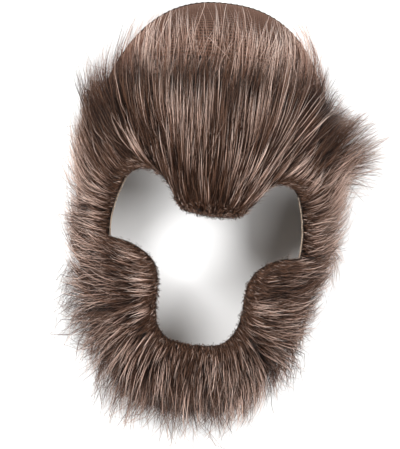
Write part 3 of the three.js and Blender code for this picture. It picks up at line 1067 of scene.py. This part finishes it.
def lay_locks(patch):
    """The middle path of each lock. A few locks reach further than the rest."""
    out, root = strew(patch, max(LEAST_LOCKS, int(patch.area / LOCK_SPACING**2)))
    patch.lock_root = root
    patch.locks, patch.lock_length = paths_from(
        patch, out, root, length_share=1.0, turn_spread=0.1, rise_share=1.0, tip_rise=2.0
    )
    usual_reach = patch.rng.uniform(*LOCK_REACHES, len(root))
    is_long = patch.rng.random(len(root)) < LONG_LOCK_SHARE
    patch.lock_reach = usual_reach + LONG_LOCK * is_long


def lay_wisps(patch):
    """The middle path of each wisp, the lock it belongs to and its tone."""
    out, root = strew(patch, max(LEAST_WISPS, int(patch.area / patch.dress["wisp_gap"] ** 2)))
    patch.wisp_root = root
    length_share = patch.rng.uniform(*WISP_LENGTHS, len(root))
    rise_share = patch.rng.uniform(*WISP_RISES, len(root))
    patch.wisps, patch.wisp_length = paths_from(
        patch, out, root, length_share, WISP_SPREAD * patch.dress["spread"], rise_share, tip_rise=1.5
    )
    patch.lock_of = nearest(root, patch.lock_root)
    own_tone = patch.rng.normal(0, WISP_TONE, len(root))
    lock_tone = patch.rng.normal(0, patch.dress["lock_tone"], len(patch.lock_root))
    patch.wisp_tone = own_tone + lock_tone[patch.lock_of]


def new_patch(place_at, within, seed, dress):
    """What the steps of one patch share: its place, its dress, its random draws, its locks and its wisps."""
    patch = SimpleNamespace(place_at=place_at, within=within, seed=seed, dress=dress)
    patch.rng = np.random.default_rng(seed)
    _, _, patch.area = sample(place_at, within, edge_dense, 1, patch.rng)
    lay_locks(patch)
    lay_wisps(patch)
    return patch


# %% Plant one layer
RIM_THINNING, THINNED_OUTS = 2.2, (0.3, 0.8)
LOCK_REACH_OUTS, LOCK_PULL_OUTS = (0.3, 0.6), (0.45, 0.8)
ROOT_TONE, ROOT_TONE_SIZE = 0.12, 9 * MM
PULL_POWER = 1.3
PULL = np.linspace(0, 1, STEPS + 1)[None, :, None] ** PULL_POWER


def comb(patch, layer):
    """How far out the roots are, the roots, their combed paths and the tones of their wisps.

    Near the rim most hairs of a layer are short, so the coat thins out.
    """
    count, (low, high) = layer["count"], layer["reach"]
    rise_share = patch.rng.uniform(*layer["rise"], count)
    out, root = strew(patch, count)
    thinning = mix(1, RIM_THINNING, smooth(out, *THINNED_OUTS))
    share = mix(low, high, patch.rng.random(count) ** thinning)
    wisp = nearest(root, patch.wisp_root)
    lock = patch.lock_of[wisp]
    share = share * mix(1, patch.lock_reach[lock], smooth(out, *LOCK_REACH_OUTS))
    own, length = paths_from(
        patch, out, root, share, layer["spread"], rise_share, layer["tip_rise"], layer["trimmed"]
    )
    wisp_path = along_path(patch.wisps[wisp], length / patch.wisp_length[wisp])
    lock_path = along_path(patch.locks[lock], length / patch.lock_length[lock])
    inner, outer = layer["lock_pulls"]
    lock_pull = mix(inner, outer, smooth(out, *LOCK_PULL_OUTS))[:, None, None]
    drawn = own + (wisp_path - own) * PULL * layer["wisp_pull"]
    drawn = drawn + (lock_path - wisp_path) * PULL * lock_pull
    return out, root, trim(keep_off(drawn)), patch.wisp_tone[wisp]


def plant(patch, layer):
    """The copies of one layer's hairs, each with its width and tone."""
    count, (dark, pale, lean) = layer["count"], layer["tone"]
    out, root, paths, tone = comb(patch, layer)
    tone = tone + ROOT_TONE * soft_noise(root, ROOT_TONE_SIZE, patch.seed + 5) + tone_at(root, out)
    is_warm = patch.rng.random(count) < warmth_at(root)
    tone = np.clip(tone + mix(dark, pale, patch.rng.random(count) ** lean), 0, PALEST)
    width = patch.rng.uniform(*layer["half_width_mm"], count) * MM
    return copies(layer["spike"], paths, width, fur_tone(tone, is_warm))


# %% The layers of a coat
UNDER_SHARE = 0.1
STREAK_SHARE = 0.045
LONG_HAIR_SPREAD = 0.7
STREAK_PULL = 0.8


def layers_of(dress, spikes, guards, overs):
    """The layers from the cloth up. A pair is the least and the most that a hair may draw.

    A tone is the darkest, the palest and a lean: above 1 to the dark end and below 1 to the pale one.
    """
    coat_spike, over_spike = spikes
    guard_layer = {
        "spike": coat_spike, "count": guards, "reach": dress["reach"], "spread": dress["spread"],
        "rise": (0.6, 1.2), "tip_rise": 1.5, "wisp_pull": dress["wisp_pull"],
        "lock_pulls": (dress["lock_pull"], dress["tip_pull"]), "trimmed": 1,
        "half_width_mm": (0.12, 0.2), "tone": dress["coat_tone"],
    }
    undercoat = guard_layer | {
        "spike": short_hair, "count": int(guards * UNDER_SHARE), "reach": (0.22, 0.42), "spread": 0.25,
        "rise": (0.9, 1.5), "tip_rise": 4, "wisp_pull": 0.35, "lock_pulls": (0.1, 0.1),
        "half_width_mm": (0.28, 0.42), "tone": (0, 0.15, 1),
    }
    long_hairs = guard_layer | {
        "spike": over_spike, "count": overs, "reach": dress["over_reach"],
        "spread": LONG_HAIR_SPREAD * dress["spread"], "rise": (1.4, 2.0), "tip_rise": 3,
        "wisp_pull": dress["over_pull"], "trimmed": dress["trim"],
        "half_width_mm": (0.1, 0.17), "tone": dress["over_tone"],
    }
    streaks = long_hairs | {
        "count": int(guards * STREAK_SHARE), "rise": (1.3, 2.1),
        "wisp_pull": STREAK_PULL * dress["wisp_pull"], "trimmed": 0,
        "half_width_mm": (0.14, 0.24), "tone": (0.85, 1, 1),
    }
    loose_hairs = undercoat | {
        "spike": over_spike, "count": int(guards * dress["loose"]), "reach": (0.8, 1.3), "spread": 0.3,
        "rise": (1.2, 1.9), "tip_rise": 5, "wisp_pull": 0.15, "trimmed": 0.1,
        "half_width_mm": (0.08, 0.13), "tone": (0.6, 1, 1),
    }
    return undercoat, guard_layer, long_hairs, streaks, loose_hairs


# %% Bristles along the edge
BRISTLE_BAND = 0.07
BRISTLE_EDGE, BRISTLE_EDGE_EXTRA = 0.025, 5
BARE_SIDE_SHARE = 0.75
BRISTLE_LENGTHS, BRISTLE_RISES, BRISTLE_TURN = (4, 8), (45, 95), 0.6
BRISTLE_HALF_WIDTHS, BRISTLE_TONES = (0.12, 0.2), (1.4, 2.2)
BRISTLE_HUG, BRISTLE_TIP_RISE, BRISTLE_DECAY = 0.7, 5, 0.3


def bristle_density(place_at):
    """Densest at the edge, but the scissors left few over the straight sides, where the cut cloth shows."""
    def density(along, out):
        at_edge = 1 + BRISTLE_EDGE_EXTRA * smooth(out, BRISTLE_EDGE, 0)
        return at_edge * (1 - BARE_SIDE_SHARE * straight_side(place_at(along, out)))

    return density


def plant_bristles(patch, count):
    """Short stiff hairs along the clipped edge. They stand up, and the outermost lean over it."""
    rng = patch.rng
    out, root = strew(patch, count, (patch.within[0], (0, BRISTLE_BAND)), bristle_density(patch.place_at))
    length = rng.uniform(*BRISTLE_LENGTHS, count) * MM
    rise = rng.uniform(*BRISTLE_RISES, count) + patch.dress["edge_lean"] * smooth(out, BRISTLE_EDGE, 0)
    whim = rng.normal(0, BRISTLE_TURN, count)
    hug, no_wave = np.full(count, BRISTLE_HUG), np.zeros(count)
    paths = walk(
        root, length, rise, hug, whim, bend=0, tip_rise=BRISTLE_TIP_RISE,
        wave_size=no_wave, wave_phase=0, decay=BRISTLE_DECAY,
    )
    tone = fur_tone(rng.beta(*BRISTLE_TONES, count), is_warm=False)
    return copies(short_hair, paths, rng.uniform(*BRISTLE_HALF_WIDTHS, count) * MM, tone)


# %% Grow one patch
def grow(name, place_at, within, material, seed, dress, spikes, guards, overs, bristles=0):
    """One patch as one mesh. guards, overs and bristles are the counts that give it its fullness."""
    patch = new_patch(place_at, within, seed, dress)
    layers = layers_of(dress, spikes, guards, overs)
    parts = [plant(patch, layer) for layer in layers]
    if bristles:
        parts.append(plant_bristles(patch, bristles))
    piece = join_copies(name, parts, material)
    count = sum(layer["count"] for layer in layers) + bristles
    print(name, round(float(patch.area) * 1e4, 1), "cm2,", count, "hairs,", triangles_of(piece), "triangles")
    return piece


print("growing tools ready")

# %% [markdown]
# ## The brow pelt's fur
# Over the forehead the hair stands in long straight streaks and its tips lie on the cap, at the crown in a
# warmer brown. At the temples it is longest and flares out to both sides. One mesh could hold it all, but
# four patches keep each mesh light. A patch's dress says how wavy, spread and uneven its hairs are, how far
# they reach as shares of the coat's length, how far apart its wisps stand, how hard hairs are pulled to
# their wisps and locks, and what tones they draw.

# %% How the brow is dressed
STRAIGHT_HAIRS, WAVY_HAIRS = (short_hair, guard_hair), (guard_hair, wavy_hair)
STRAIGHT = {
    "wavy": 0.02, "spread": 0.06, "uneven": 0.08, "loose": 0.02, "trim": 0.4, "edge_lean": 45,
    "reach": (0.4, 0.9), "over_reach": (0.8, 1.4),
    "wisp_gap": 1.2 * MM, "wisp_pull": 0.4, "over_pull": 0.2, "lock_pull": 0.15, "tip_pull": 0.15,
    "coat_tone": (0, 0.95, 1.3), "over_tone": (0.05, 0.95, 0.9), "lock_tone": 0.07,
}
FRINGE = STRAIGHT | {
    "spread": 0.12, "loose": 0.05, "reach": (0.2, 0.6), "over_reach": (0.9, 1.6),
    "wisp_gap": 4.5 * MM, "wisp_pull": 0.85, "over_pull": 0.85, "lock_pull": 0.2, "tip_pull": 0.2,
    "coat_tone": (0.42, 1, 0.85), "over_tone": (0.6, 1, 0.8),
}
FLARED = STRAIGHT | {
    "wavy": 0.05, "spread": 0.12, "uneven": 0.18, "loose": 0.03, "edge_lean": 55, "over_reach": (0.8, 1.25),
    "wisp_gap": 1.5 * MM, "wisp_pull": 0.5, "over_pull": 0.25, "lock_pull": 0.25, "tip_pull": 0.9,
    "coat_tone": (0, 0.85, 1.4), "over_tone": (0.2, 1, 0.9),
}
print("the forehead's wisps stand", STRAIGHT["wisp_gap"] / MM, "mm apart")

# %% Grow the brow pelt
FRINGE_OUT, FRINGE_ALONG = 0.7, 0.52
FOREHEAD_ALONG = 0.42
EDGE_OUT = 0.012
SIDE_ALONG, RIM_OUT, SEAM_OUT = 0.995, 0.99, 0.995

forehead_fur = grow(
    "forehead_fur", brow_place, ((-FOREHEAD_ALONG, FOREHEAD_ALONG), (EDGE_OUT, FRINGE_OUT)), brow_coat,
    seed=11, dress=STRAIGHT, spikes=STRAIGHT_HAIRS, guards=7800, overs=1700, bristles=1500,
)
crown_fringe_fur = grow(
    "crown_fringe_fur", brow_place, ((-FRINGE_ALONG, FRINGE_ALONG), (FRINGE_OUT, SEAM_OUT)), brow_coat,
    seed=12, dress=FRINGE, spikes=STRAIGHT_HAIRS, guards=5400, overs=500,
)
left_temple_fur = grow(
    "left_temple_fur", brow_place, ((-SIDE_ALONG, -FOREHEAD_ALONG), (EDGE_OUT, RIM_OUT)), brow_coat,
    seed=13, dress=FLARED, spikes=STRAIGHT_HAIRS, guards=7800, overs=1600, bristles=1200,
)
right_temple_fur = grow(
    "right_temple_fur", brow_place, ((FOREHEAD_ALONG, SIDE_ALONG), (EDGE_OUT, RIM_OUT)), brow_coat,
    seed=14, dress=FLARED, spikes=STRAIGHT_HAIRS, guards=7800, overs=1600, bristles=1200,
)

# %% [markdown]
# ## The beard pelt's fur
# The cheeks are short and puffy at the mouth's side, where the pile stands up off the cloth, and longer and
# wavier outwards. On the chin the hair hangs down in pointed locks. Three patches do it, in the same way as
# on the brow: only their places, their fullness and their dress are new.

# %% Grow the beard pelt
CHIN_ALONG = 0.38
HANGING = STRAIGHT | {
    "wavy": 0.1, "spread": 0.12, "uneven": 0.16, "trim": 1.0, "edge_lean": 75, "reach": (0.35, 0.75),
    "wisp_gap": 1.8 * MM, "wisp_pull": 0.5, "over_pull": 0.25, "lock_pull": 0.2, "tip_pull": 0.75,
    "over_tone": (0.3, 1, 0.8), "lock_tone": 0.1,
}
PUFFY = HANGING | {
    "wavy": 0.28, "spread": 0.18, "uneven": 0.2, "loose": 0.04, "trim": 0.3, "reach": (0.4, 0.9),
    "over_reach": (0.8, 1.3), "wisp_gap": 1.5 * MM, "tip_pull": 0.7,
    "coat_tone": (0, 1, 1.15), "over_tone": (0.15, 1, 0.85), "lock_tone": 0.12,
}

chin_fur = grow(
    "chin_fur", beard_place, ((-CHIN_ALONG, CHIN_ALONG), (EDGE_OUT, RIM_OUT)), beard_coat,
    seed=21, dress=HANGING, spikes=STRAIGHT_HAIRS, guards=7600, overs=1600, bristles=2000,
)
left_cheek_fur = grow(
    "left_cheek_fur", beard_place, ((-SIDE_ALONG, -CHIN_ALONG), (EDGE_OUT, RIM_OUT)), beard_coat,
    seed=22, dress=PUFFY, spikes=WAVY_HAIRS, guards=4900, overs=1100, bristles=2000,
)
right_cheek_fur = grow(
    "right_cheek_fur", beard_place, ((CHIN_ALONG, SIDE_ALONG), (EDGE_OUT, RIM_OUT)), beard_coat,
    seed=23, dress=PUFFY, spikes=WAVY_HAIRS, guards=4900, overs=1100, bristles=2000,
)

# %% [markdown]
# ## Hand the pieces over
# The spikes were only patterns and go. The cloths move from the head's centre to their place in the row, and
# every piece rides on the mask's one body and says which solid it stands for.

# %% Place, ride, replace
for pattern in (guard_hair, wavy_hair, short_hair):
    bpy.data.objects.remove(pattern)
cloths = (brow_backing, beard_backing, crown_cap, hem_stitches)
for piece in cloths:
    move_points(piece.data, points_of(piece.data) + CENTRE)

brow_fur = [forehead_fur, crown_fringe_fur, left_temple_fur, right_temple_fur]
beard_fur = [chin_fur, left_cheek_fur, right_cheek_fur]
for pieces, node, finish in (
    ([brow_backing, *brow_fur], "brow_pelt", "brow_fur"),
    ([beard_backing, *beard_fur], "beard_pelt", "beard_fur"),
    ([crown_cap, hem_stitches], "crown_cap", "crown_knit"),
):
    for piece in pieces:
        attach(piece, BODY)
        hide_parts(node)
    print(node, "is now", [piece.name for piece in pieces])


# %% Say what each cloth was cut to
def cloth_area(piece):
    return float(face_values(piece.data, "area", 1).sum()) / 2


def declare(piece, width, length):
    area = cloth_area(piece)
    print(piece.name, "cut from", round(width, 3), "by", round(length, 3), "m, area", round(area, 4), "m2")


declare(brow_backing, 0.30, 0.15)
declare(beard_backing, 0.30, 0.175)
declare(crown_cap, 0.24, 0.11)

# %% [markdown]
# ## Floor, light and camera
# The mask lies on a plain pale floor. Large soft lamps stand above its head and to both sides, as in a
# studio, with a bright room all round. The camera looks down on the face, rolled a little and set a little
# to the left as the head was held, from as far as a portrait is taken.

# %% Floor
FLOOR_SIZE = 4.0
FLOOR_DROP = 0.3 * MM
bpy.ops.mesh.primitive_plane_add(size=FLOOR_SIZE, location=(0, 0, -FLOOR_DROP))
floor = bpy.context.object
floor.name = "floor"
floor_material, _, floor_shader = new_material("pale_floor")
floor_shader.inputs["Base Color"].default_value = (0.86, 0.86, 0.86, 1)
floor_shader.inputs["Roughness"].default_value = 0.9
floor.data.materials.append(floor_material)
print(floor.name, FLOOR_SIZE, "m wide")

# %% Lights
LAMP_SIZE = 0.6
ROOM_LIGHT = 0.3

world = bpy.data.worlds.new("studio")
world.use_nodes = True
room = world.node_tree.nodes["Background"]
room.inputs["Color"].default_value = (1, 1, 1, 1)
room.inputs["Strength"].default_value = ROOM_LIGHT
bpy.context.scene.world = world


def soft_lamp(name, place, power):
    """A square lamp at a place in metres, turned to the mask."""
    lamp = bpy.data.lights.new(name, "AREA")
    lamp.size = LAMP_SIZE
    lamp.energy = power
    stand = bpy.data.objects.new(name, lamp)
    bpy.context.scene.collection.objects.link(stand)
    stand.location = place
    stand.rotation_euler = (-stand.location).to_track_quat("-Z", "Y").to_euler()
    return stand


lamps = (
    soft_lamp("key", (-0.65, 0.6, 1.5), power=34),
    soft_lamp("fill", (0.85, 0.1, 1.5), power=24),
    soft_lamp("low_fill", (-0.1, -0.9, 1.5), power=13),
)
print("lamps", [lamp.name for lamp in lamps])

# %% Camera
SCALE = 0.61 * MM
FRAME_HEIGHT_PX = 449
FACE_HEIGHT = 50 * MM
CAMERA_HEIGHT = 1.6
ROLL, YAW = 6.8, 3.0
VIEW_CENTRE = CENTRE + np.array([-3.4 * MM, -6.8 * MM, 0])

camera = bpy.data.cameras.new("portrait")
camera.sensor_width = 36
camera.lens = camera.sensor_width * (CAMERA_HEIGHT - FACE_HEIGHT) / (SCALE * FRAME_HEIGHT_PX)
camera.clip_start = 0.05
stand = bpy.data.objects.new("portrait", camera)
bpy.context.scene.collection.objects.link(stand)
aside, up = [(CAMERA_HEIGHT - FACE_HEIGHT) * way(math.radians(YAW)) for way in (math.sin, math.cos)]
stand.location = (VIEW_CENTRE[0] - aside, VIEW_CENTRE[1], FACE_HEIGHT + up)
turned = Matrix.Rotation(math.radians(-YAW), 3, "Y") @ Matrix.Rotation(math.radians(ROLL), 3, "Z")
stand.rotation_euler = turned.to_euler()
bpy.context.scene.camera = stand
print("camera", tuple(round(v, 4) for v in stand.location), "lens", round(camera.lens, 1))

# %% Count the triangles in all
print("triangles in all", sum(triangles_of(piece) for piece in (*brow_fur, *beard_fur, *cloths)))
